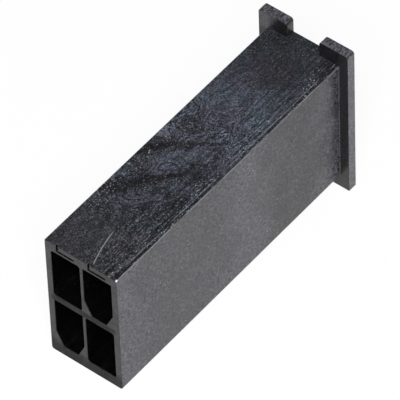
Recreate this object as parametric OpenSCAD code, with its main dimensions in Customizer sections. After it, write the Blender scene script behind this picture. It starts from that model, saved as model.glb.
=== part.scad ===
// Shrouded pin header, two columns by two rows, lying on its long lower side.
// X runs across the width, Y runs from the mating face to the solder tails, Z is up.
// The origin is under the middle of the whole part, solder tails included, level with the flange's foot.

/* [Contacts] */
// Distance between the two columns of contacts
column_pitch = 4.2; // [3.9:0.05:5.2]
// Distance between the two rows of contacts
row_pitch = 7.85; // [7.2:0.05:9]
// Side of the square pin
pin_side = 1.14; // [0.6:0.02:1.6]
// Depth of the pin tips behind the mating face
pin_setback = 3.2; // [1:0.1:8]
// Length of the solder tails behind the flange
tail_length = 3.2; // [2:0.1:6]
// Length of the taper at each end of a pin
pin_taper = 1.2; // [0.4:0.1:1.8]
// Side of the square left at the end of a tapered pin
pin_tip_side = 0.46; // [0.2:0.02:0.56]

/* [Housing] */
// Length of the body from the mating face to the flange
body_length = 37.5; // [20:0.1:60]
// Thickness of the two side walls
side_wall = 0.8; // [0.6:0.05:2]
// Thickness of the wall under the lower row
lower_wall = 1.4; // [1.2:0.05:3]
// Thickness of the wall over the upper row
upper_wall = 1.25; // [1.2:0.05:3]
// Thickness of the rib between the two columns
column_rib = 0.4; // [0.3:0.05:1]
// Thickness of the rib between the two rows
row_rib = 0.85; // [0.4:0.05:1.4]
// Thickness of the base that holds the pins, flange included
base_thickness = 7; // [3:0.1:12]

/* [Cavities] */
// Radius of the corners of the square cavities
cell_radius = 0.3; // [0.1:0.05:0.8]
// Width of the chamfers on the lower corners of the keyed cavities
key_width = 0.95; // [0.4:0.05:1.4]
// Height of the chamfers on the lower corners of the keyed cavities
key_height = 2; // [0.6:0.05:2.6]

/* [Flange] */
// Thickness of the flange plate
flange_thickness = 1.2; // [0.8:0.05:2.5]
// Reach of the flange past each side of the body
flange_overhang = 1.2; // [0.6:0.05:3]
// Reach of the flange below the body
foot_height = 1.65; // [0.4:0.05:3]
// Height of the two ears above the top of the body
ear_height = 2.1; // [1:0.05:4]
// Width of the notch between the two ears
notch_width = 4.3; // [2:0.05:6]

/* [Release slots] */
// Width of the slot above each upper cavity
slot_width = 2.35; // [1.2:0.05:3]
// Height of the slot above each upper cavity
slot_height = 0.25; // [0.2:0.05:0.5]
// Thickness of the web between a slot and its cavity
slot_web = 0.3; // [0.2:0.05:0.6]
// Depth of the slot behind the mating face
slot_depth = 6; // [2:0.5:14]
// Width of the slit that opens the slot to the top face
slit_width = 0.25; // [0.15:0.05:0.6]
// Depth of the slit behind the mating face
slit_depth = 0.3; // [0.2:0.1:2]

/* [Edges] */
// Radius of the long lower edges of the body
lower_edge_radius = 0.35; // [0.1:0.05:0.8]
// Radius of the long upper edges of the body
upper_edge_radius = 0.15; // [0.1:0.05:0.6]
// Radius of the upper corners of the ears
ear_radius = 0.4; // [0.1:0.05:0.9]

/* [Hidden] */
$fn = 64;
cut_margin = 0.5;

cell_width = column_pitch - column_rib;
cell_height = row_pitch - row_rib;
body_width = column_pitch + cell_width + 2 * side_wall;
body_height = row_pitch + cell_height + lower_wall + upper_wall;
body_top = foot_height + body_height;
flange_width = body_width + 2 * flange_overhang;
ear_top = body_top + ear_height;

total_length = body_length + flange_thickness + tail_length;
mating_y = -total_length / 2;
seat_y = mating_y + body_length;
board_y = seat_y + flange_thickness;
base_y = board_y - base_thickness;
tip_y = mating_y + pin_setback;
tail_y = board_y + tail_length;

column_x = [-column_pitch / 2, column_pitch / 2];
lower_row_z = foot_height + lower_wall + cell_height / 2;
row_z = [lower_row_z, lower_row_z + row_pitch];
upper_cell_top = row_z[1] + cell_height / 2;

// Column and row of each contact, in circuit order
PLACES = [[0, 0], [1, 0], [0, 1], [1, 1]];
// The lower left and the upper right cavities are keyed
function keyed(place) = place[0] == place[1];
function pin_name(i) = str("pin_", i + 1);

// Sweeps a flat outline along +Y: the outline's x stays X and its y becomes Z
module along_y(length) {
    translate([0, length, 0])
        rotate([90, 0, 0])
            linear_extrude(length)
                children();
}

// What an outline loses when the corner at the first quadrant's far end is rounded
module corner_waste(radius) {
    translate([-radius, -radius])
        difference() {
            square(radius + cut_margin);
            circle(radius);
        }
}

// Repeats a shape on both sides of the part's middle plane
module both_sides() {
    children();
    mirror([1, 0, 0])
        children();
}

module body_outline() {
    difference() {
        translate([-body_width / 2, 0])
            square([body_width, body_height]);
        both_sides() {
            translate([body_width / 2, body_height])
                corner_waste(upper_edge_radius);
            translate([body_width / 2, 0])
                mirror([0, 1])
                    corner_waste(lower_edge_radius);
        }
    }
}

// Straight body, carried on through the flange so that the two are one moulding
module body_block() {
    translate([0, mating_y, foot_height])
        along_y(body_length + flange_thickness)
            body_outline();
}

// Plate that reaches past the body on every side, with a notch between two ears
module flange_outline() {
    difference() {
        translate([-flange_width / 2, 0])
            square([flange_width, ear_top]);
        translate([-notch_width / 2, body_top])
            square([notch_width, ear_height + cut_margin]);
        both_sides() {
            translate([flange_width / 2, ear_top])
                corner_waste(ear_radius);
            translate([notch_width / 2, ear_top])
                mirror([1, 0])
                    corner_waste(ear_radius);
        }
    }
}

module flange() {
    translate([0, seat_y, 0])
        along_y(flange_thickness)
            flange_outline();
}

// Cavity with two chamfered lower corners, which a square finger can't enter
module keyed_outline() {
    right = cell_width / 2;
    top = cell_height / 2;
    polygon([
        [-right, top],
        [right, top],
        [right, key_height - top],
        [right - key_width, -top],
        [key_width - right, -top],
        [-right, key_height - top],
    ]);
}

module square_outline() {
    difference() {
        square([cell_width, cell_height], center = true);
        both_sides() {
            translate([cell_width / 2, cell_height / 2])
                corner_waste(cell_radius);
            translate([cell_width / 2, -cell_height / 2])
                mirror([0, 1])
                    corner_waste(cell_radius);
        }
    }
}

module cell(place) {
    translate([column_x[place[0]], mating_y - cut_margin, row_z[place[1]]])
        along_y(base_y - mating_y + cut_margin)
            if (keyed(place)) keyed_outline();
            else square_outline();
}

module pin_hole(place) {
    translate([column_x[place[0]], base_y - cut_margin, row_z[place[1]]])
        along_y(base_thickness + 2 * cut_margin)
            square(pin_side, center = true);
}

// Thin slot over an upper cavity, opened to the top face by a short slit at its left end
module release_slot(x) {
    slot_z = upper_cell_top + slot_web;
    translate([x - slot_width / 2, mating_y - cut_margin, slot_z]) {
        cube([slot_width, slot_depth + cut_margin, slot_height]);
        cube([slit_width, slit_depth + cut_margin, body_top - slot_z + cut_margin]);
    }
}

module housing() {
    color([0.14, 0.14, 0.15])
        difference() {
            union() {
                body_block();
                flange();
            }
            for (place = PLACES) {
                cell(place);
                pin_hole(place);
            }
            for (x = column_x)
                release_slot(x);
        }
}

// Outline of a pin seen from above, tapered at both ends
module pin_outline() {
    half = pin_side / 2;
    tip = pin_tip_side / 2;
    polygon([
        [-tip, tip_y],
        [tip, tip_y],
        [half, tip_y + pin_taper],
        [half, tail_y - pin_taper],
        [tip, tail_y],
        [-tip, tail_y],
        [-half, tail_y - pin_taper],
        [-half, tip_y + pin_taper],
    ]);
}

module pin(place) {
    color([0.80, 0.79, 0.76])
        translate([column_x[place[0]], 0, row_z[place[1]]])
            intersection() {
                linear_extrude(pin_side, center = true)
                    pin_outline();
                rotate([0, 90, 0])
                    linear_extrude(pin_side, center = true)
                        pin_outline();
            }
}

housing();
for (i = [0 : len(PLACES) - 1])
    pin(PLACES[i]);
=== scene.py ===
import math

import bpy
from bpy.props import FloatProperty, FloatVectorProperty, PointerProperty
from bpy.types import Operator, Panel, PropertyGroup
from mathutils import Matrix, Vector


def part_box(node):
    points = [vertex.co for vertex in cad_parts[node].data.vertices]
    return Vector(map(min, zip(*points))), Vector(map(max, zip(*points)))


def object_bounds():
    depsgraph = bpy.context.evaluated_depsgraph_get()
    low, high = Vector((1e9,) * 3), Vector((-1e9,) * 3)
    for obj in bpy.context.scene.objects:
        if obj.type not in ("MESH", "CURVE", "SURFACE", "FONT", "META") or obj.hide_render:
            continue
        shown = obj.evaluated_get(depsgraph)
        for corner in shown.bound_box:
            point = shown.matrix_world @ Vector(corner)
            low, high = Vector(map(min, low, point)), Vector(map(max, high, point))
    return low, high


bl_info = {
    "name": "Pin Header Looks",
    "version": (1, 0, 0),
    "blender": (4, 5, 0),
    "location": "3D View > Sidebar > Pin Header",
    "description": "Dresses the moulded housing and its plated pins, and sets a plain stage",
    "category": "Object",
}

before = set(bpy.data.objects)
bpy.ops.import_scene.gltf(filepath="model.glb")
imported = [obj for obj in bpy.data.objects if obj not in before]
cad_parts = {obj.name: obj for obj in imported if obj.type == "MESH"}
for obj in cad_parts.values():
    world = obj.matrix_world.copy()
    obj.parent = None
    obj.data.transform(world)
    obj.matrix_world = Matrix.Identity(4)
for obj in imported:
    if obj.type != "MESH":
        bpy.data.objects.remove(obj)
CAD_LOW, CAD_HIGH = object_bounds()
PIN_NAMES = sorted(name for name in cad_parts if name.startswith("pin_"))
MM_PER_M = 1000.0
WHITE = (1.0, 1.0, 1.0)

# Forms of the housing, in millimetres
FLANGE_OVERHANG = 1.2
FLANGE_THICKNESS = 1.2
FOOT_HEIGHT = 1.65
EAR_HEIGHT = 2.1
SIDE_WALL = 0.8
LOWER_WALL = 1.4
CAVITY_HEIGHT = 7.0
ROW_RIB = 0.85
BASE_THICKNESS = 7.0

# Places on the housing, in millimetres
HOUSING_LOW, HOUSING_HIGH = (corner * MM_PER_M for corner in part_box("housing"))
BODY_HALF_WIDTH = HOUSING_HIGH.x - FLANGE_OVERHANG
BODY_TOP = HOUSING_HIGH.z - EAR_HEIGHT
MATING_Y = HOUSING_LOW.y
SEAT_Y = HOUSING_HIGH.y - FLANGE_THICKNESS
CAVITY_HALF_WIDTH = BODY_HALF_WIDTH - SIDE_WALL
CAVITY_LOW = FOOT_HEIGHT + LOWER_WALL
CAVITY_BASE_Y = HOUSING_HIGH.y - BASE_THICKNESS
ROW_RIB_LOW = CAVITY_LOW + CAVITY_HEIGHT


def mm(metres):
    """A length in millimetres, for the textures that work in them."""
    return metres * MM_PER_M


# Node helpers


def feed(tree, value, socket):
    """Links an output to a socket, or sets a plain value or an opaque colour on it."""
    if isinstance(value, bpy.types.NodeSocket):
        tree.links.new(value, socket)
    elif socket.type == "RGBA":
        socket.default_value = (*value, 1.0)
    else:
        socket.default_value = value


def new_node(tree, kind, values=None, **settings):
    """A node of this kind, with these settings and socket values."""
    node = tree.nodes.new(kind)
    for key, value in settings.items():
        setattr(node, key, value)
    for label, value in (values or {}).items():
        feed(tree, value, node.inputs[label])
    return node


def calc(tree, operation, *values):
    """The output of a Math node on these values."""
    node = new_node(tree, "ShaderNodeMath", operation=operation)
    for value, socket in zip(values, node.inputs):
        feed(tree, value, socket)
    return node.outputs["Value"]


def vector_calc(tree, operation, *values):
    """The output of a Vector Math node on these vectors."""
    node = new_node(tree, "ShaderNodeVectorMath", operation=operation)
    for value, socket in zip(values, node.inputs):
        feed(tree, value, socket)
    return node.outputs["Vector"]


def scaled_vector(tree, vector, scale):
    """A vector times one number."""
    values = {"Vector": vector, "Scale": scale}
    return new_node(tree, "ShaderNodeVectorMath", values, operation="SCALE").outputs["Vector"]


def axes_of(tree, vector):
    """The X, Y and Z of a vector."""
    node = new_node(tree, "ShaderNodeSeparateXYZ", {"Vector": vector})
    return node.outputs["X"], node.outputs["Y"], node.outputs["Z"]


def scaled(tree, value, share, base):
    """A value times a share, on top of a base."""
    return calc(tree, "MULTIPLY_ADD", value, share, base)


def product(tree, *values):
    """The product of several values."""
    result = values[0]
    for value in values[1:]:
        result = calc(tree, "MULTIPLY", result, value)
    return result


def greatest(tree, *values):
    """The greatest of several values."""
    result = values[0]
    for value in values[1:]:
        result = calc(tree, "MAXIMUM", result, value)
    return result


def off_by(tree, value, middle):
    """How far a value lies from a middle one, on either side."""
    return calc(tree, "ABSOLUTE", calc(tree, "SUBTRACT", value, middle))


def ramp(tree, value, low, high, to_low=0.0, to_high=1.0):
    """A smooth change from to_low at low to to_high at high."""
    values = {"Value": value, "From Min": low, "From Max": high, "To Min": to_low, "To Max": to_high}
    node = new_node(tree, "ShaderNodeMapRange", values, interpolation_type="SMOOTHSTEP")
    return node.outputs["Result"]


def within(tree, value, low, high, soft):
    """One between two limits, and nothing past them, with soft ends."""
    rise = ramp(tree, value, low - soft, low + soft)
    return product(tree, rise, ramp(tree, value, high + soft, high - soft))


def blend_colours(tree, share, first, second):
    """A colour between two colours."""
    node = new_node(tree, "ShaderNodeMix", data_type="RGBA")
    for value, label in ((share, "Factor"), (first, "A"), (second, "B")):
        feed(tree, value, node.inputs[label])
    return node.outputs["Result"]


def noise(tree, vector, scale, **values):
    """The outputs of a noise texture on this vector."""
    return new_node(tree, "ShaderNodeTexNoise", {"Vector": vector, "Scale": scale, **values}).outputs


def scattered_cells(tree, vector, scale):
    """The distance to the middle of the nearest cell, and two random shares of that cell."""
    cells = new_node(tree, "ShaderNodeTexVoronoi", {"Vector": vector, "Scale": scale}, feature="F1")
    chance = new_node(tree, "ShaderNodeSeparateColor", {"Color": cells.outputs["Color"]})
    return cells.outputs["Distance"], chance.outputs["Red"], chance.outputs["Green"]


def new_group(name, values, outputs):
    """An effect on a vector with these values and outputs: its tree, its inputs and its outputs."""
    tree = bpy.data.node_groups.new(name, "ShaderNodeTree")
    tree.interface.new_socket("Vector", in_out="INPUT", socket_type="NodeSocketVector")
    for label, default in values.items():
        socket = tree.interface.new_socket(label, in_out="INPUT", socket_type="NodeSocketFloat")
        socket.default_value = default
    for label in outputs:
        tree.interface.new_socket(label, in_out="OUTPUT", socket_type="NodeSocketFloat")
    start = new_node(tree, "NodeGroupInput")
    end = new_node(tree, "NodeGroupOutput")
    return tree, start.outputs, end.inputs


# Surface effects on millimetre coordinates, each built once and placed with its own values

# Pairs are where a texture starts to show and where it shows in full; a fleck's are its least and most
MOTTLE_SHOWN = (0.3, 0.7)
SPECK_REACH = (0.09, 0.05)
SPECKLESS_SHARE = 0.88
LINES_SHOWN = (0.35, 0.65)
FLECK_REACH = (0.3, 0.55)
FLECK_CORE = 0.15
FLECK_CONTRAST = 1.6
FLOW_SHOWN = (0.3, 0.56)
CURVES_PER_SWIRL = 14.0
CURVE_REACH = (0.24, 0.04)
FIBRE_STRETCH = (1.0, 0.12, 1.0)
FIBRES_SHOWN = (0.3, 0.7)
NOISE_MIDDLE = (0.5, 0.5, 0.5)


def grain_group():
    """Fine grain, broad mottling and a few stray specks."""
    tree, start, end = new_group(
        "surface_grain",
        {"Grains per mm": 6.0, "Patches per mm": 0.5, "Specks per mm": 1.0},
        ("Grain", "Mottle", "Specks"),
    )
    vector = start["Vector"]
    grain = noise(tree, vector, start["Grains per mm"], Detail=2.0, Roughness=0.6)
    feed(tree, grain["Fac"], end["Grain"])
    patches = noise(tree, vector, start["Patches per mm"], Detail=3.0, Roughness=0.55, Distortion=0.8)
    feed(tree, ramp(tree, patches["Fac"], *MOTTLE_SHOWN), end["Mottle"])
    distance, chance, _ = scattered_cells(tree, vector, start["Specks per mm"])
    chosen = calc(tree, "GREATER_THAN", chance, SPECKLESS_SHARE)
    feed(tree, product(tree, ramp(tree, distance, *SPECK_REACH), chosen), end["Specks"])
    return tree


def lines_group():
    """Fine lines drawn out along Y."""
    tree, start, end = new_group(
        "drawn_lines",
        {"Lines per mm": 5.0, "Length ratio": 20.0},
        ("Lines",),
    )
    across = start["Lines per mm"]
    along = calc(tree, "DIVIDE", across, start["Length ratio"])
    scale = new_node(tree, "ShaderNodeCombineXYZ", {"X": across, "Y": along, "Z": across})
    stretched = vector_calc(tree, "MULTIPLY", start["Vector"], scale.outputs["Vector"])
    streaks = noise(tree, stretched, 1.0, Detail=1.5, Roughness=0.5)
    feed(tree, ramp(tree, streaks["Fac"], *LINES_SHOWN), end["Lines"])
    return tree


def fleck_and_glint_group():
    """Pale flecks of filler, of uneven size and brightness, which also stand for painted glints."""
    tree, start, end = new_group("filler_flecks_and_glints", {"Flecks per mm": 4.0}, ("Flecks",))
    distance, chance, spread = scattered_cells(tree, start["Vector"], start["Flecks per mm"])
    reach = ramp(tree, spread, 0.0, 1.0, *FLECK_REACH)
    bright = calc(tree, "POWER", chance, FLECK_CONTRAST)
    feed(tree, product(tree, ramp(tree, distance, reach, FLECK_CORE), bright), end["Flecks"])
    return tree


def flow_group():
    """Swirling marks and fibres where the melt ran along Y."""
    tree, start, end = new_group(
        "flow_marks",
        {"Swirls per mm": 0.3, "Swing": 1.5, "Fibres per mm": 3.0},
        ("Flow", "Curves", "Fibres"),
    )
    drift = noise(tree, start["Vector"], start["Swirls per mm"], Detail=1.0, Roughness=0.5)
    centred = vector_calc(tree, "SUBTRACT", drift["Color"], NOISE_MIDDLE)
    swing = scaled_vector(tree, centred, start["Swing"])
    carried = vector_calc(tree, "ADD", start["Vector"], swing)
    marks = noise(tree, carried, start["Swirls per mm"], Detail=1.5, Roughness=0.5, Distortion=0.5)
    feed(tree, ramp(tree, marks["Fac"], *FLOW_SHOWN), end["Flow"])
    rings = calc(tree, "PINGPONG", product(tree, marks["Fac"], CURVES_PER_SWIRL), 0.5)
    feed(tree, ramp(tree, rings, *CURVE_REACH), end["Curves"])
    drawn = vector_calc(tree, "MULTIPLY", carried, FIBRE_STRETCH)
    fibres = noise(tree, drawn, start["Fibres per mm"], Detail=2.0, Roughness=0.6)
    feed(tree, ramp(tree, fibres["Fac"], *FIBRES_SHOWN), end["Fibres"])
    return tree


EFFECTS = {
    "surface_grain": grain_group,
    "drawn_lines": lines_group,
    "filler_flecks_and_glints": fleck_and_glint_group,
    "flow_marks": flow_group,
}


def place_effect(tree, name, vector, **values):
    """Places an effect with its own values; an underscore in a name stands for a space."""
    group = bpy.data.node_groups.get(name) or EFFECTS[name]()
    node = new_node(tree, "ShaderNodeGroup", node_tree=group)
    feed(tree, vector, node.inputs["Vector"])
    for label, value in values.items():
        feed(tree, value, node.inputs[label.replace("_", " ")])
    return node.outputs


# What every finish needs


def new_finish(name):
    """An empty material, its shader, and the place on the part in millimetres."""
    material = bpy.data.materials.new(name)
    material.use_nodes = True
    tree = material.node_tree
    tree.nodes.clear()
    shader = new_node(tree, "ShaderNodeBsdfPrincipled")
    new_node(tree, "ShaderNodeOutputMaterial", {"Surface": shader.outputs["BSDF"]})
    place = new_node(tree, "ShaderNodeTexCoord").outputs["Object"]
    return material, tree, shader, scaled_vector(tree, place, MM_PER_M)


def bump(tree, height, depth, shader):
    """Gives the shader a surface relief of this depth in metres."""
    values = {"Strength": 1.0, "Distance": depth, "Height": height}
    node = new_node(tree, "ShaderNodeBump", values)
    feed(tree, node.outputs["Normal"], shader.inputs["Normal"])


# How the edges of a CAD node are rounded
WELD_DISTANCE = 1e-6
FLAT_ANGLE = math.radians(0.5)
SHARP_ANGLE = math.radians(35)
LARGE_FACE_WEIGHT = 100


def soften_edges(node, radius, segments):
    """Rounds a CAD node's sharp edges for the picture, with modifiers that leave its mesh alone."""
    weld = node.modifiers.new("join_corners", "WELD")
    weld.merge_threshold = WELD_DISTANCE
    flat = node.modifiers.new("flat_faces", "DECIMATE")
    flat.decimate_type = "DISSOLVE"
    flat.angle_limit = FLAT_ANGLE
    edge = node.modifiers.new("soft_edges", "BEVEL")
    edge.width = radius
    edge.segments = segments
    edge.limit_method = "ANGLE"
    edge.angle_limit = SHARP_ANGLE
    edge.use_clamp_overlap = False
    edge.loop_slide = False
    shade = node.modifiers.new("even_shading", "WEIGHTED_NORMAL")
    shade.keep_sharp = False
    shade.weight = LARGE_FACE_WEIGHT


def give_finish(node, material):
    """Puts a finish on every face of a CAD node, through the object's own slots."""
    if not node.material_slots:
        raise RuntimeError(f"{node.name} has no material slot to dress")
    for slot in node.material_slots:
        slot.link = "OBJECT"
        slot.material = material


# Sizes and colours, with the limits that like properties share

RGB = {"size": 3, "min": 0.0, "max": 1.0}
EDGE_LIMITS = {"min": 0.00001, "max": 0.0002, "precision": 6}
TEXTURE_LIMITS = {"min": 0.00005, "max": 0.001, "precision": 6}
DEPTH_LIMITS = {"min": 0.0, "max": 0.0001, "precision": 7}
STRETCH_LIMITS = {"min": 0.1, "max": 1.0}


class HousingLook(PropertyGroup):
    """Colours and surface of the moulded housing."""

    cool_black: FloatVectorProperty(
        name="Cool Black",
        description="Colour of the moulding where the melt flowed freely",
        subtype="COLOR",
        default=(0.126, 0.168, 0.208),
        **RGB,
    )
    violet_black: FloatVectorProperty(
        name="Violet Black",
        description="Second colour of the moulding where the melt flowed freely",
        subtype="COLOR",
        default=(0.158, 0.156, 0.206),
        **RGB,
    )
    # On the front of the left ear this colour also gives a painted reflection
    neutral_black: FloatVectorProperty(
        name="Neutral Black",
        description="Colour of the top towards the mating face, and of the lighter parts of the flange",
        subtype="COLOR",
        default=(0.140, 0.138, 0.146),
        **RGB,
    )
    side_black: FloatVectorProperty(
        name="Side Black",
        description="Colour of the moulding on its long sides",
        subtype="COLOR",
        default=(0.100, 0.097, 0.117),
        **RGB,
    )
    end_black: FloatVectorProperty(
        name="End Black",
        description="Colour of the moulding on the mating face and the flange",
        subtype="COLOR",
        default=(0.010, 0.010, 0.011),
        **RGB,
    )
    warm_black: FloatVectorProperty(
        name="Warm Black",
        description="Colour of the moulding inside the flow marks",
        subtype="COLOR",
        default=(0.036, 0.032, 0.030),
        **RGB,
    )
    seam_black: FloatVectorProperty(
        name="Seam Black",
        description="Colour of the dark seams in the top of the moulding",
        subtype="COLOR",
        default=(0.006, 0.004, 0.0035),
        **RGB,
    )
    # Pale flecks of filler, which also stand for painted glints on the top
    fleck: FloatVectorProperty(
        name="Fleck",
        description="Colour of the pale flecks of filler in the moulding",
        subtype="COLOR",
        default=(0.42, 0.42, 0.44),
        **RGB,
    )
    # Painted shade: the cavity walls are darkened for the shade inside them; the same colour gives the dark
    # speckle
    cavity_shade_and_speckle: FloatVectorProperty(
        name="Cavity",
        description="Colour of the cavity walls and of the dark speckle",
        subtype="COLOR",
        default=(0.0015, 0.0015, 0.0017),
        **RGB,
    )
    # Scratches and specks are marks on the moulding; on both rims of the top and on a line beside its right
    # edge this colour is a painted highlight
    pale_marks_and_painted_sheen: FloatVectorProperty(
        name="Rubbed",
        description="Colour of scratches, specks and rubbed edges",
        subtype="COLOR",
        default=(0.22, 0.22, 0.23),
        **RGB,
    )
    # Painted glint: a near-white spot on the upper right corner of the mating face
    painted_glint: FloatVectorProperty(
        name="Bare",
        description="Colour of a corner that is worn bare",
        subtype="COLOR",
        default=(0.85, 0.85, 0.85),
        **RGB,
    )
    edge_radius: FloatProperty(
        name="Edge Radius",
        description="Radius of the small rounding on every moulded edge",
        unit="LENGTH",
        default=0.00007,
        **EDGE_LIMITS,
    )
    grain_size: FloatProperty(
        name="Grain Size",
        description="Width of one grain of the moulded surface",
        unit="LENGTH",
        default=0.00016,
        **TEXTURE_LIMITS,
    )
    fleck_size: FloatProperty(
        name="Fleck Size",
        description="Usual distance between two flecks of filler",
        unit="LENGTH",
        default=0.00015,
        **TEXTURE_LIMITS,
    )
    fleck_stretch: FloatProperty(
        name="Fleck Stretch",
        description="Width of a fleck as a share of its length along the part",
        subtype="FACTOR",
        default=0.5,
        **STRETCH_LIMITS,
    )
    side_stretch: FloatProperty(
        name="Side Stretch",
        description="Width of the grain on the long sides as a share of its length along the part",
        subtype="FACTOR",
        default=0.45,
        **STRETCH_LIMITS,
    )
    grain_depth: FloatProperty(
        name="Grain Depth",
        description="Depth of the moulded surface's grain",
        unit="LENGTH",
        default=0.00002,
        **DEPTH_LIMITS,
    )


class PinLook(PropertyGroup):
    """Colours and surface of the plated pins."""

    plating: FloatVectorProperty(
        name="Plating",
        description="Colour of the tin plating",
        subtype="COLOR",
        default=(0.78, 0.77, 0.74),
        **RGB,
    )
    dulled: FloatVectorProperty(
        name="Dulled Plating",
        description="Colour of the plating where it has dulled",
        subtype="COLOR",
        default=(0.60, 0.59, 0.56),
        **RGB,
    )
    edge_radius: FloatProperty(
        name="Edge Radius",
        description="Radius of the long edges of a drawn pin",
        unit="LENGTH",
        default=0.00006,
        **EDGE_LIMITS,
    )
    line_depth: FloatProperty(
        name="Line Depth",
        description="Depth of the lines that drawing leaves along a pin",
        unit="LENGTH",
        default=0.000004,
        **DEPTH_LIMITS,
    )


class StageLook(PropertyGroup):
    """Floor, light and camera."""

    floor_colour: FloatVectorProperty(
        name="Floor",
        description="Colour of the floor",
        subtype="COLOR",
        default=(0.92, 0.92, 0.92),
        **RGB,
    )
    sky_colour: FloatVectorProperty(
        name="Sky",
        description="Colour of the soft ceiling of the room",
        subtype="COLOR",
        default=(0.22, 0.235, 0.27),
        **RGB,
    )
    wall_colour: FloatVectorProperty(
        name="Walls",
        description="Colour of the dark walls of the room",
        subtype="COLOR",
        default=(0.12, 0.12, 0.13),
        **RGB,
    )
    floor_size: FloatProperty(
        name="Floor Size",
        description="Side of the floor",
        unit="LENGTH",
        min=0.5,
        max=20.0,
        default=8.0,
    )
    floor_gap: FloatProperty(
        name="Floor Gap",
        description="Clearance between the part and the floor that it lies on",
        unit="LENGTH",
        min=0.0,
        max=0.001,
        precision=6,
        default=0.00002,
    )
    key_power: FloatProperty(
        name="Key Power",
        description="Power of the soft lamp near the camera",
        unit="POWER",
        min=0.0,
        max=50.0,
        default=6.0,
    )
    azimuth: FloatProperty(
        name="Azimuth",
        description="Camera's turn to the right of the mating face",
        subtype="ANGLE",
        default=math.radians(40.188),
    )
    elevation: FloatProperty(
        name="Elevation",
        description="Camera's height above the horizon",
        subtype="ANGLE",
        default=math.radians(48.66),
    )
    roll: FloatProperty(
        name="Roll",
        description="Camera's turn about its own line of sight",
        subtype="ANGLE",
        default=math.radians(2.369),
    )
    distance: FloatProperty(
        name="Distance",
        description="Camera's distance from the point it looks at",
        unit="LENGTH",
        min=0.05,
        max=10.0,
        default=0.60998,
    )
    aim: FloatVectorProperty(
        name="Aim",
        description="Point that the camera looks at",
        subtype="TRANSLATION",
        size=3,
        precision=6,
        default=(-0.0000468, -0.0013809, 0.0107311),
    )
    focal_length: FloatProperty(
        name="Focal Length",
        description="Camera's focal length in millimetres",
        min=10.0,
        max=2000.0,
        default=519.15,
    )


# Where masks and marks on the housing start and end along an axis, in millimetres; where the first
# number is the greater one, the mark grows towards the lesser

TOP_Z = (BODY_TOP - 0.2, BODY_TOP + 0.2)
OUTER_X = BODY_HALF_WIDTH - 0.3
BODY_Y = (SEAT_Y, SEAT_Y - 0.1)
INSIDE_X = (CAVITY_HALF_WIDTH + 0.04, CAVITY_HALF_WIDTH + 0.02)
INSIDE_Y = (MATING_Y + 0.07, CAVITY_BASE_Y + 0.03)
INSIDE_Z = (CAVITY_LOW - 0.03, BODY_TOP - 0.1)
FRONT_Y = (MATING_Y + 0.12, MATING_Y + 0.08)
ROW_RIB_X = (CAVITY_HALF_WIDTH + 0.5, CAVITY_HALF_WIDTH)
ROW_RIB_Z = (ROW_RIB_LOW, ROW_RIB_LOW + ROW_RIB)
LOW_WALL_Z = (CAVITY_LOW + 1.3, CAVITY_LOW - 0.5)
# Painted reflection on the front of the left ear
EAR_SHEEN_X = (-3.5, -5.0)
EAR_SHEEN_Z = (BODY_TOP - 1.0, BODY_TOP + 0.3)

SEAMS_X = (2.8, 0.2)
SEAMS_Y = (-12.0, -1.0)
SWIRLS_X = (4.0, 1.0)
SWIRLS_Y = (-14.0, 3.0)
PALE_RISE_Y = (-3.6, -1.0)
PALE_FALL_Y = (12.0, 5.0)
# Painted shade on the top towards the flange
FLANGE_SHADE_Y = (8.0, 15.0)
NEUTRAL_Y = (-11.0, -18.0)
CALM_NEAR_X = (1.0, -1.0)
CALM_NEAR_Y = (-14.5, -17.0)
CALM_FAR_Y = (1.0, 6.0)
STROKES_X = (-1.0, 1.5)
DEEP_STROKES_X = (1.8, 3.6)
DEEP_STROKES_Y = (-2.0, -10.0)
LEFT_DRAG_Y = (-14.0, -2.0)
RIGHT_DRAG_X = (-1.0, 1.0)
EDGE_DRAG_X = (BODY_HALF_WIDTH - 2.4, BODY_HALF_WIDTH - 0.8)
# Painted highlight on a line beside the right edge of the top
EDGE_HIGHLIGHT_X = (BODY_HALF_WIDTH - 0.58, BODY_HALF_WIDTH - 0.5)
# Painted dark reflection in a band along the right edge of the top
EDGE_SHADE_BAND_X = (BODY_HALF_WIDTH - 0.42, BODY_HALF_WIDTH - 0.14)
# Painted highlights on the rims of the top's long edges
RIM_HIGHLIGHT_X = (BODY_HALF_WIDTH - 0.09, BODY_HALF_WIDTH)
RIM_HIGHLIGHT_Z = (BODY_TOP - 0.12, BODY_TOP)

# Paths and sizes of the seams, the scratch, the painted glint on a corner and the clouds, in millimetres
SEAM_SPACING = 6.6
SEAM_SLANT = 1.1
SEAM_SWAY = 5.0
SEAM_SWAYS_PER_MM = 0.32
SCRATCH_START_X = 1.47
SCRATCH_START_Y = MATING_Y + 0.35
SCRATCH_SLOPE = -0.3697
SCRATCH_BEND = 0.0253
SCRATCH_WIDTH = (0.08, 0.03)
SCRATCH_RISE = (-0.1, 0.2)
SCRATCH_FALL = (5.2, 4.0)
# Painted glint on the upper right corner of the mating face
GLINT_CORNER = (BODY_HALF_WIDTH - 0.06, MATING_Y + 0.1, BODY_TOP - 0.06)
GLINT_REACH = (0.24, 0.1)
CLOUD_SWAY = 14.0
CLOUD_SWAYS_PER_MM = 0.2
# Middle, reach and lightness of each cloud along the sides
SIDE_CLOUDS = ((-20.0, 5.5, 0.32), (0.4, 4.5, 0.5), (9.0, 6.0, -0.32), (17.0, 5.0, 0.5))

# Where a value starts to count and where it counts in full: a face's turn towards an axis, the wave of
# the seams, the grain of the speckle and the lines of the painted highlight beside the right edge
FACING_UP = (0.6, 0.95)
FACING_SIDE = (0.5, 0.9)
SEAM_CREST = (0.58, 0.94)
SEAM_TROUGH = (0.3, -0.5)
SPECKLE = (0.38, 0.62)
HIGHLIGHT_LINES = (0.2, 0.7)

# Lightness of the top, and how far each mark lifts or dims it
TOP_LIGHTNESS = 0.51
PALE_LIFT = 0.47
GROUND_LIFT = 0.6
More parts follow.
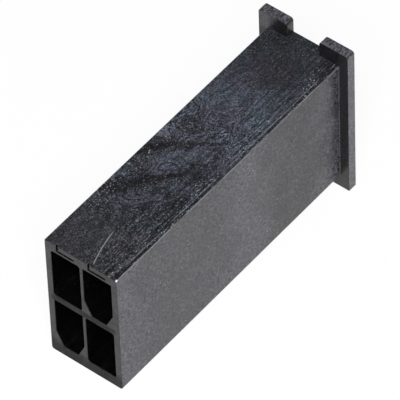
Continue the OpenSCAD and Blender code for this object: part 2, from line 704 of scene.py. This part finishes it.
# Painted shade on the top towards the flange
FLANGE_SHADE_DIM = -0.16
SEAM_DIM = -0.88
CURVE_DIM = -1.0
# Painted dark reflection in a band along the right edge of the top
SHADE_BAND_DIM = -0.6
CALM_DIM = -0.3
STROKE_SWING = 0.9

# How strongly one mark follows another, and what it has without it
CURVES_BY_SWIRL = (0.65, 0.08)
FIBRES_BY_CALM = (0.2, 0.3)
WARMTH_BY_SWIRL = (0.45, 0.2)
CLOUD_BY_MOTTLE = (0.4, 0.3)
SPECKLE_BY_CALM = (0.2, 0.05)
FLECKS_BY_BODY = (0.05, 0.2)
FLECKS_BY_CALM = (-0.1, 0.2)

# Shares of the other colours
MOST_NEUTRAL = 0.75
FLANGE_LIGHTER = 0.22
# Share of the painted reflection on the front of the left ear
EAR_SHEEN = 1.5
FLECKS_LEAST = 0.1
FLECKS_BY_TONE = 0.2
FLECKS_DRAGGED = 0.8
# Shares of the painted highlights beside the right edge and on the rims
EDGE_HIGHLIGHT_SHARE = 0.6
RIM_HIGHLIGHT_SHARE = 0.75
RIM_HIGHLIGHT_LEAST = 0.4
SPECK_WEAR = 0.15

# Gloss, with the least and the most roughness of a plain face, and what places add to it
PLASTIC_IOR = 1.46
PLAIN_ROUGHNESS = (0.22, 0.32)
BEAM_ROUGHER = 0.45
SIDE_ROUGHER = 0.1
END_ROUGHER = 0.18
INSIDE_SMOOTHER = -0.14

# Heights of the relief, in grain depths
FLECK_HEIGHT = 0.8
DRAG_HEIGHT = 1.2
FIBRE_HEIGHT = 0.8


# Masks of the housing's faces and zones


def housing_faces(tree, at):
    """The top of the body, and the outer sides with the tops of the ears."""
    across, _, up = axes_of(tree, new_node(tree, "ShaderNodeNewGeometry").outputs["Normal"])
    upward = ramp(tree, up, *FACING_UP)
    ears = product(tree, upward, calc(tree, "GREATER_THAN", at["z"], TOP_Z[1]))
    sideways = ramp(tree, calc(tree, "ABSOLUTE", across), *FACING_SIDE)
    outer = calc(tree, "GREATER_THAN", at["from_middle"], OUTER_X)
    top = product(tree, upward, within(tree, at["z"], *TOP_Z, soft=0.01))
    return top, greatest(tree, product(tree, sideways, outer), ears)


def cavity_walls(tree, at):
    """The walls of the cavities and the slots, from behind the rounded front edges to the base, where shade
    is painted and the roughness is lower.
    """
    return product(
        tree,
        ramp(tree, at["from_middle"], *INSIDE_X),
        within(tree, at["z"], *INSIDE_Z, soft=0.01),
        within(tree, at["y"], *INSIDE_Y, soft=0.02),
    )


def dull_beams(tree, at):
    """The duller bars of the mating face: the rib between the rows and the wall under them."""
    rib = product(
        tree,
        within(tree, at["z"], *ROW_RIB_Z, soft=0.1),
        ramp(tree, at["from_middle"], *ROW_RIB_X),
    )
    low_wall = ramp(tree, at["z"], *LOW_WALL_Z)
    return product(tree, greatest(tree, rib, low_wall), ramp(tree, at["y"], *FRONT_Y))


def melt_seams(tree, at):
    """Slanting seams on the left of the top, where streams of melt met, and the pale ground between."""
    x, y = at["x"], at["y"]
    drift = noise(tree, at["place"], SEAM_SWAYS_PER_MM, Detail=2.0, Roughness=0.5)
    sway = scaled(tree, drift["Fac"], SEAM_SWAY, -SEAM_SWAY / 2)
    across = calc(tree, "ADD", scaled(tree, x, -SEAM_SLANT, y), sway)
    wave = calc(tree, "COSINE", product(tree, across, 2 * math.pi / SEAM_SPACING))
    spread = product(tree, within(tree, y, *SEAMS_Y, soft=2.5), ramp(tree, x, *SEAMS_X))
    dark = product(tree, ramp(tree, wave, *SEAM_CREST), spread)
    return dark, product(tree, ramp(tree, wave, *SEAM_TROUGH), spread)


def calm_zones(tree, at):
    """Where the top is evenly grey: its near left corner, its far end and the ground between the seams."""
    near = product(tree, ramp(tree, at["x"], *CALM_NEAR_X), ramp(tree, at["y"], *CALM_NEAR_Y))
    return greatest(tree, near, ramp(tree, at["y"], *CALM_FAR_Y), at["ground"])


def edge_drag(tree, at):
    """Where the mould dragged: along the right edge of the top, and along the middle of the left one."""
    left = within(tree, at["y"], *LEFT_DRAG_Y, soft=3.0)
    reach = greatest(tree, left, ramp(tree, at["x"], *RIGHT_DRAG_X))
    return product(tree, ramp(tree, at["from_middle"], *EDGE_DRAG_X), reach, at["top"])


def housing_places(tree, place):
    """Named places on the housing: its axes, its faces, its cavities and the zones of its top."""
    x, y, z = axes_of(tree, place)
    at = {"place": place, "x": x, "y": y, "z": z, "from_middle": calc(tree, "ABSOLUTE", x)}
    at["top"], at["side"] = housing_faces(tree, at)
    at["body"] = ramp(tree, y, *BODY_Y)
    at["flange"] = calc(tree, "SUBTRACT", 1.0, at["body"])
    at["inside"] = cavity_walls(tree, at)
    at["beams"] = dull_beams(tree, at)
    at["swirled"] = product(tree, within(tree, y, *SWIRLS_Y, soft=3.0), ramp(tree, x, *SWIRLS_X))
    at["seams"], at["ground"] = melt_seams(tree, at)
    at["calm"] = calm_zones(tree, at)
    at["dragged_edge"] = edge_drag(tree, at)
    return at


# Finish of the housing


def moulding_marks(tree, place, look):
    """The textures of the moulding: flow marks, fine and coarse grain, flecks of filler that also stand for
    painted glints, and drawn lines.
    """
    grains = 1 / mm(look.grain_size)
    combed = vector_calc(tree, "MULTIPLY", place, (1.0, look.side_stretch, 1.0))
    drawn_out = vector_calc(tree, "MULTIPLY", place, (1.0, look.fleck_stretch, 1.0))
    flow = place_effect(tree, "flow_marks", place, Swirls_per_mm=0.2, Swing=5.0, Fibres_per_mm=2.6)
    fine = place_effect(
        tree,
        "surface_grain",
        place,
        Grains_per_mm=grains,
        Patches_per_mm=0.3,
        Specks_per_mm=0.9,
    )
    coarse = place_effect(tree, "surface_grain", combed, Grains_per_mm=0.8 * grains, Patches_per_mm=0.9)
    filler = place_effect(tree, "filler_flecks_and_glints", drawn_out, Flecks_per_mm=1 / mm(look.fleck_size))
    drawn = place_effect(tree, "drawn_lines", place, Lines_per_mm=5.0, Length_ratio=18.0)
    return {
        "flow": flow,
        "fine": fine,
        "coarse": coarse,
        "flecks": filler["Flecks"],
        "lines": drawn["Lines"],
    }


def top_tone(tree, at, marks):
    """Lightness of the top: pale past the middle, with painted shade by the flange, with seams, curves and
    strokes, and a painted dark reflection along the right edge.
    """
    x, y = at["x"], at["y"]
    pale = product(tree, ramp(tree, y, *PALE_RISE_Y), ramp(tree, y, *PALE_FALL_Y))
    tone = scaled(tree, pale, PALE_LIFT, TOP_LIGHTNESS)
    tone = scaled(tree, at["ground"], GROUND_LIFT, tone)
    # Painted shade: the top darkens towards the flange
    tone = scaled(tree, ramp(tree, y, *FLANGE_SHADE_Y), FLANGE_SHADE_DIM, tone)
    curves = product(tree, marks["flow"]["Curves"], scaled(tree, at["swirled"], *CURVES_BY_SWIRL))
    strokes = product(tree, calc(tree, "SUBTRACT", marks["lines"], 0.5), ramp(tree, x, *STROKES_X))
    deep = product(tree, ramp(tree, x, *DEEP_STROKES_X), ramp(tree, y, *DEEP_STROKES_Y))
    for mark, share in (
        (at["seams"], SEAM_DIM),
        (curves, CURVE_DIM),
        # Painted dark reflection in a band along the right edge
        (within(tree, x, *EDGE_SHADE_BAND_X, soft=0.05), SHADE_BAND_DIM),
        (strokes, calc(tree, "ADD", deep, STROKE_SWING)),
        (at["calm"], CALM_DIM),
    ):
        tone = product(tree, tone, scaled(tree, mark, share, 1.0))
    faintest = scaled(tree, at["calm"], *FIBRES_BY_CALM)
    return product(tree, tone, ramp(tree, marks["flow"]["Fibres"], 0.0, 1.0, faintest))


def top_colour(tree, at, marks, tone, look):
    """Cool where the melt ran freely, neutral towards the mating face and warm in the flow marks."""
    cool = blend_colours(tree, marks["fine"]["Mottle"], look.cool_black, look.violet_black)
    near = ramp(tree, at["y"], *NEUTRAL_Y, to_high=MOST_NEUTRAL)
    cool = blend_colours(tree, near, cool, look.neutral_black)
    still = calc(tree, "SUBTRACT", 1.0, marks["flow"]["Flow"])
    warmth = product(tree, scaled(tree, at["swirled"], *WARMTH_BY_SWIRL), still)
    return blend_colours(tree, tone, look.seam_black, blend_colours(tree, warmth, cool, look.warm_black))


def side_clouds(tree, at, mottle):
    """Lightness of the long sides: pale at both ends and by the middle, dull past it."""
    drift = noise(tree, at["place"], CLOUD_SWAYS_PER_MM, Detail=3.0, Roughness=0.6)
    centred = calc(tree, "SUBTRACT", at["y"], CLOUD_SWAY / 2)
    along = scaled(tree, drift["Fac"], CLOUD_SWAY, centred)
    cloud = scaled(tree, mottle, *CLOUD_BY_MOTTLE)
    for middle, reach, share in SIDE_CLOUDS:
        cloud = scaled(tree, ramp(tree, off_by(tree, along, middle), reach, 0.0), share, cloud)
    return cloud


def side_colour(tree, at, marks, lighter, look):
    """Colour of the sides and the ends: clouded sides, a lighter flange and a painted reflection on the
    front of the left ear.
    """
    clouds = side_clouds(tree, at, marks["fine"]["Mottle"])
    beside = blend_colours(tree, clouds, look.end_black, look.side_black)
    beside = blend_colours(tree, lighter, beside, look.neutral_black)
    # Painted reflection on the front of the left ear, blended towards the neutral black
    ear = product(tree, ramp(tree, at["x"], *EAR_SHEEN_X), ramp(tree, at["z"], *EAR_SHEEN_Z))
    pale_marks_and_painted_sheen = product(tree, ear, lighter, EAR_SHEEN)
    ahead = blend_colours(tree, pale_marks_and_painted_sheen, look.end_black, look.neutral_black)
    return blend_colours(tree, at["side"], ahead, beside)


def dark_speckle(tree, at, marks, lighter):
    """What the dark speckle leaves of the colour: fine on the top and the ends, coarse on the sides."""
    fine = ramp(tree, marks["fine"]["Grain"], *SPECKLE, scaled(tree, at["calm"], *SPECKLE_BY_CALM))
    coarse = ramp(tree, marks["coarse"]["Grain"], *SPECKLE, lighter)
    return scaled(tree, calc(tree, "SUBTRACT", coarse, fine), at["side"], fine)


def pale_flecks_and_glints(tree, at, marks, tone, dragged):
    """Pale flecks of filler that also stand for painted glints: more of them where the top is pale or
    dragged.
    """
    share = scaled(tree, at["side"], scaled(tree, at["body"], *FLECKS_BY_BODY), FLECKS_LEAST)
    share = scaled(tree, dragged, FLECKS_DRAGGED, share)
    above = scaled(tree, tone, FLECKS_BY_TONE, scaled(tree, at["calm"], *FLECKS_BY_CALM))
    return product(tree, marks["flecks"], scaled(tree, above, at["top"], share))


def light_scratch(tree, at):
    """One fine curved scratch on the top that starts at the mating face."""
    run = calc(tree, "SUBTRACT", at["y"], SCRATCH_START_Y)
    slope = scaled(tree, run, SCRATCH_BEND, SCRATCH_SLOPE)
    middle = scaled(tree, run, slope, SCRATCH_START_X)
    return product(
        tree,
        ramp(tree, off_by(tree, at["x"], middle), *SCRATCH_WIDTH),
        ramp(tree, run, *SCRATCH_RISE),
        ramp(tree, run, *SCRATCH_FALL),
        at["top"],
    )


def scratch_specks_and_highlights(tree, at, marks):
    """A scratch and stray specks, with painted highlights on a line beside the right edge and on both rims.
    """
    # Painted highlight on a line beside the right edge, broken by the drawn lines
    edge_highlight = product(
        tree,
        within(tree, at["x"], *EDGE_HIGHLIGHT_X, soft=0.03),
        ramp(tree, marks["lines"], *HIGHLIGHT_LINES),
        at["dragged_edge"],
    )
    # Painted highlights on the rims of the top's long edges
    rim_highlight = product(
        tree,
        within(tree, at["from_middle"], *RIM_HIGHLIGHT_X, soft=0.03),
        within(tree, at["z"], *RIM_HIGHLIGHT_Z, soft=0.03),
        at["body"],
        ramp(tree, marks["lines"], 0.0, 1.0, RIM_HIGHLIGHT_LEAST),
    )
    return greatest(
        tree,
        light_scratch(tree, at),
        product(tree, edge_highlight, EDGE_HIGHLIGHT_SHARE),
        product(tree, rim_highlight, RIM_HIGHLIGHT_SHARE),
        product(tree, marks["fine"]["Specks"], SPECK_WEAR),
    )


def painted_corner_glint(tree, at):
    """A painted glint on the upper right corner of the mating face."""
    across, along, up = (off_by(tree, at[axis], spot) for axis, spot in zip("xyz", GLINT_CORNER))
    away = calc(tree, "ADD", calc(tree, "ADD", across, along), up)
    return ramp(tree, away, *GLINT_REACH)


def moulding_roughness(tree, at, marks):
    """Mottled, duller on the beams, patchy on the sides and the ends, smoother inside the cavities."""
    ends = calc(tree, "SUBTRACT", 1.0, greatest(tree, at["side"], at["top"]))
    patchy = scaled(tree, at["side"], SIDE_ROUGHER, product(tree, ends, END_ROUGHER))
    rough = ramp(tree, marks["fine"]["Mottle"], 0.0, 1.0, *PLAIN_ROUGHNESS)
    for mark, share in (
        (at["beams"], BEAM_ROUGHER),
        (marks["coarse"]["Mottle"], patchy),
        (at["inside"], INSIDE_SMOOTHER),
    ):
        rough = scaled(tree, mark, share, rough)
    return rough


def moulding_relief(tree, at, marks, dragged):
    """Height of the surface: grain, with flecks, drag lines and fibres standing on it."""
    height = marks["fine"]["Grain"]
    for mark, share in (
        (marks["flecks"], FLECK_HEIGHT),
        (dragged, DRAG_HEIGHT),
        (product(tree, marks["flow"]["Fibres"], at["top"]), FIBRE_HEIGHT),
    ):
        height = scaled(tree, mark, share, height)
    return height


def moulding_finish(look):
    """Black moulded plastic: speckled and streaked on top, with seams, drag lines and a scratch, and with
    painted shade, highlights, a glint and a reflection.
    """
    material, tree, shader, place = new_finish("black_moulding")
    shader.inputs["IOR"].default_value = PLASTIC_IOR
    at = housing_places(tree, place)
    marks = moulding_marks(tree, place, look)
    tone = top_tone(tree, at, marks)
    lighter = product(tree, at["flange"], FLANGE_LIGHTER)
    dragged = product(tree, marks["lines"], at["dragged_edge"])
    above = top_colour(tree, at, marks, tone, look)
    beside = side_colour(tree, at, marks, lighter, look)
    shade = blend_colours(tree, at["top"], beside, above)
    shade = blend_colours(tree, dark_speckle(tree, at, marks, lighter), look.cavity_shade_and_speckle, shade)
    for mark, colour in (
        # Pale flecks of filler, partly painted glints
        (pale_flecks_and_glints(tree, at, marks, tone, dragged), look.fleck),
        (scratch_specks_and_highlights(tree, at, marks), look.pale_marks_and_painted_sheen),
        # Painted shade on the walls of the cavities and the slots
        (at["inside"], look.cavity_shade_and_speckle),
        # Painted glint on the upper right corner of the mating face
        (painted_corner_glint(tree, at), look.painted_glint),
    ):
        shade = blend_colours(tree, mark, shade, colour)
    feed(tree, shade, shader.inputs["Base Color"])
    feed(tree, moulding_roughness(tree, at, marks), shader.inputs["Roughness"])
    bump(tree, moulding_relief(tree, at, marks, dragged), look.grain_depth, shader)
    return material


# Finishes of the pins and the floor

MOST_DULLED = 0.7
PLATING_ROUGHNESS = 0.20
LINES_ROUGHER = 0.10
DULLED_ROUGHER = 0.10
PLATING_GRAIN_HEIGHT = 0.4
FLOOR_GLOW_SEEN = 0.92
FLOOR_GLOW_MIRRORED = 0.6


def plating_finish(look):
    """Tin plating on a drawn pin: fine lines along it and slightly dulled patches."""
    material, tree, shader, place = new_finish("tin_plating")
    shader.inputs["Metallic"].default_value = 1.0
    grain = place_effect(
        tree,
        "surface_grain",
        place,
        Grains_per_mm=9.0,
        Patches_per_mm=1.1,
        Specks_per_mm=2.0,
    )
    lines = place_effect(tree, "drawn_lines", place, Lines_per_mm=14.0, Length_ratio=40.0)["Lines"]
    dull = greatest(tree, product(tree, grain["Mottle"], MOST_DULLED), grain["Specks"])
    feed(tree, blend_colours(tree, dull, look.plating, look.dulled), shader.inputs["Base Color"])
    rough = scaled(tree, lines, LINES_ROUGHER, PLATING_ROUGHNESS)
    feed(tree, scaled(tree, grain["Mottle"], DULLED_ROUGHER, rough), shader.inputs["Roughness"])
    bump(tree, scaled(tree, grain["Grain"], PLATING_GRAIN_HEIGHT, lines), look.line_depth, shader)
    return material


def floor_finish(look):
    """White floor: bright where it is looked at or mirrored, with the part's shadow kept."""
    material = bpy.data.materials.new("studio_floor")
    material.use_nodes = True
    tree = material.node_tree
    tree.nodes.clear()
    paint = new_node(tree, "ShaderNodeBsdfDiffuse", {"Color": look.floor_colour})
    glow = new_node(tree, "ShaderNodeEmission", {"Color": WHITE, "Strength": 1.0})
    rays = new_node(tree, "ShaderNodeLightPath").outputs
    seen = product(tree, greatest(tree, rays["Is Camera Ray"], rays["Is Transmission Ray"]), FLOOR_GLOW_SEEN)
    mirrored = product(tree, rays["Is Glossy Ray"], FLOOR_GLOW_MIRRORED)
    mix = new_node(tree, "ShaderNodeMixShader", {"Fac": greatest(tree, seen, mirrored)})
    feed(tree, paint.outputs["BSDF"], mix.inputs[1])
    feed(tree, glow.outputs["Emission"], mix.inputs[2])
    new_node(tree, "ShaderNodeOutputMaterial", {"Surface": mix.outputs["Shader"]})
    return material


# Pieces of the stage, in metres; the room's bands go by the sine of their height above the horizon

LAMP_SIDE = 0.22
LAMP_REACH = 0.7
LAMP_WAY = (0.42, -0.52, 0.74)
SKIRTING = (0.06, 0.16)
CEILING = (0.40, 0.70)
SENSOR_WIDTH_MM = 36.0
NEAREST_SEEN = 0.01
FURTHEST_SEEN = 50.0


def set_floor(look):
    """A flat floor under the part, which lies on its mating edge and on the flange's foot."""
    half = look.floor_size / 2
    slope = FOOT_HEIGHT / (SEAT_Y - MATING_Y)
    level = slope * SEAT_Y / MM_PER_M - look.floor_gap
    front = level + slope * half
    back = level - slope * half
    corners = [(-half, -half, front), (half, -half, front), (half, half, back), (-half, half, back)]
    mesh = bpy.data.meshes.new("floor")
    mesh.from_pydata(corners, [], [(0, 1, 2, 3)])
    mesh.materials.append(floor_finish(look))
    floor = bpy.data.objects.new("floor", mesh)
    bpy.context.scene.collection.objects.link(floor)


def set_room(look):
    """A room with a white skirting, dark walls and a soft ceiling."""
    world = bpy.data.worlds.new("studio_room")
    world.use_nodes = True
    tree = world.node_tree
    tree.nodes.clear()
    _, _, up = axes_of(tree, new_node(tree, "ShaderNodeTexCoord").outputs["Generated"])
    walls = blend_colours(tree, ramp(tree, up, *SKIRTING), WHITE, look.wall_colour)
    room = blend_colours(tree, ramp(tree, up, *CEILING), walls, look.sky_colour)
    light = new_node(tree, "ShaderNodeBackground", {"Color": room, "Strength": 1.0})
    new_node(tree, "ShaderNodeOutputWorld", {"Surface": light.outputs["Background"]})
    bpy.context.scene.world = world


def set_lamp(look):
    """One square soft lamp near the camera, which looks at the part."""
    data = bpy.data.lights.new("key_lamp", "AREA")
    data.shape = "SQUARE"
    data.size = LAMP_SIDE
    data.energy = look.key_power
    lamp = bpy.data.objects.new("key_lamp", data)
    bpy.context.scene.collection.objects.link(lamp)
    way = Vector(LAMP_WAY).normalized()
    lamp.location = (CAD_LOW + CAD_HIGH) / 2 + way * LAMP_REACH
    lamp.rotation_euler = way.to_track_quat("Z", "Y").to_euler()


def set_camera(look):
    """A long lens from the right, above and in front of the mating face."""
    data = bpy.data.cameras.new("camera")
    data.sensor_width = SENSOR_WIDTH_MM
    data.lens = look.focal_length
    data.clip_start = NEAREST_SEEN
    data.clip_end = FURTHEST_SEEN
    camera = bpy.data.objects.new("camera", data)
    bpy.context.scene.collection.objects.link(camera)
    a, e = look.azimuth, look.elevation
    back = Vector((math.sin(a) * math.cos(e), -math.cos(a) * math.cos(e), math.sin(e)))
    right = Vector((math.cos(a), math.sin(a), 0.0))
    up = back.cross(right)
    turn = Matrix.Rotation(-look.roll, 3, back)
    right, up = turn @ right, turn @ up
    spot = Vector(look.aim) + back * look.distance
    camera.matrix_world = Matrix((
        (right.x, up.x, back.x, spot.x),
        (right.y, up.y, back.y, spot.y),
        (right.z, up.z, back.z, spot.z),
        (0.0, 0.0, 0.0, 1.0),
    ))
    bpy.context.scene.camera = camera


# Operators


class PINHEADER_OT_dress_housing(Operator):
    """Rounds the housing's edges and gives it its moulded finish."""

    bl_idname = "pin_header.dress_housing"
    bl_label = "Dress Housing"
    bl_options = {"REGISTER", "UNDO"}

    def execute(self, context):
        look = context.scene.pin_header_housing
        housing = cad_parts["housing"]
        soften_edges(housing, look.edge_radius, segments=3)
        give_finish(housing, moulding_finish(look))
        return {"FINISHED"}


class PINHEADER_OT_dress_pins(Operator):
    """Rounds the pins' edges and gives them their plating."""

    bl_idname = "pin_header.dress_pins"
    bl_label = "Dress Pins"
    bl_options = {"REGISTER", "UNDO"}

    def execute(self, context):
        look = context.scene.pin_header_pins
        if not PIN_NAMES:
            raise RuntimeError("the frame holds no pins")
        finish = plating_finish(look)
        for name in PIN_NAMES:
            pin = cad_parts[name]
            soften_edges(pin, look.edge_radius, segments=2)
            give_finish(pin, finish)
        return {"FINISHED"}


class PINHEADER_OT_set_stage(Operator):
    """Adds the floor, the room, the lamp and the camera."""

    bl_idname = "pin_header.set_stage"
    bl_label = "Set Stage"
    bl_options = {"REGISTER", "UNDO"}

    def execute(self, context):
        look = context.scene.pin_header_stage
        context.scene.view_settings.view_transform = "Standard"
        set_floor(look)
        set_room(look)
        set_lamp(look)
        set_camera(look)
        return {"FINISHED"}


# Each group of looks, by its name in the scene, and the operator that uses it
LOOKS = (
    ("pin_header_housing", HousingLook, PINHEADER_OT_dress_housing),
    ("pin_header_pins", PinLook, PINHEADER_OT_dress_pins),
    ("pin_header_stage", StageLook, PINHEADER_OT_set_stage),
)


class PINHEADER_PT_looks(Panel):
    """Sizes and colours of the pin header's looks."""

    bl_label = "Pin Header"
    bl_space_type = "VIEW_3D"
    bl_region_type = "UI"
    bl_category = "Pin Header"

    def draw(self, context):
        for name, group, operator in LOOKS:
            box = self.layout.box()
            look = getattr(context.scene, name)
            for key in group.__annotations__:
                box.prop(look, key)
            box.operator(operator.bl_idname)


CLASSES = (
    HousingLook,
    PinLook,
    StageLook,
    PINHEADER_OT_dress_housing,
    PINHEADER_OT_dress_pins,
    PINHEADER_OT_set_stage,
    PINHEADER_PT_looks,
)


def register():
    """Adds the classes to Blender and the looks to its scenes."""
    for cls in CLASSES:
        bpy.utils.register_class(cls)
    for name, group, _ in LOOKS:
        setattr(bpy.types.Scene, name, PointerProperty(type=group))


def unregister():
    """Takes away what register adds."""
    for name, _, _ in LOOKS:
        delattr(bpy.types.Scene, name)
    for cls in reversed(CLASSES):
        bpy.utils.unregister_class(cls)


def main():
    register()
    bpy.ops.pin_header.dress_housing()
    bpy.ops.pin_header.dress_pins()
    bpy.ops.pin_header.set_stage()


if __name__ == "__main__":
    main()
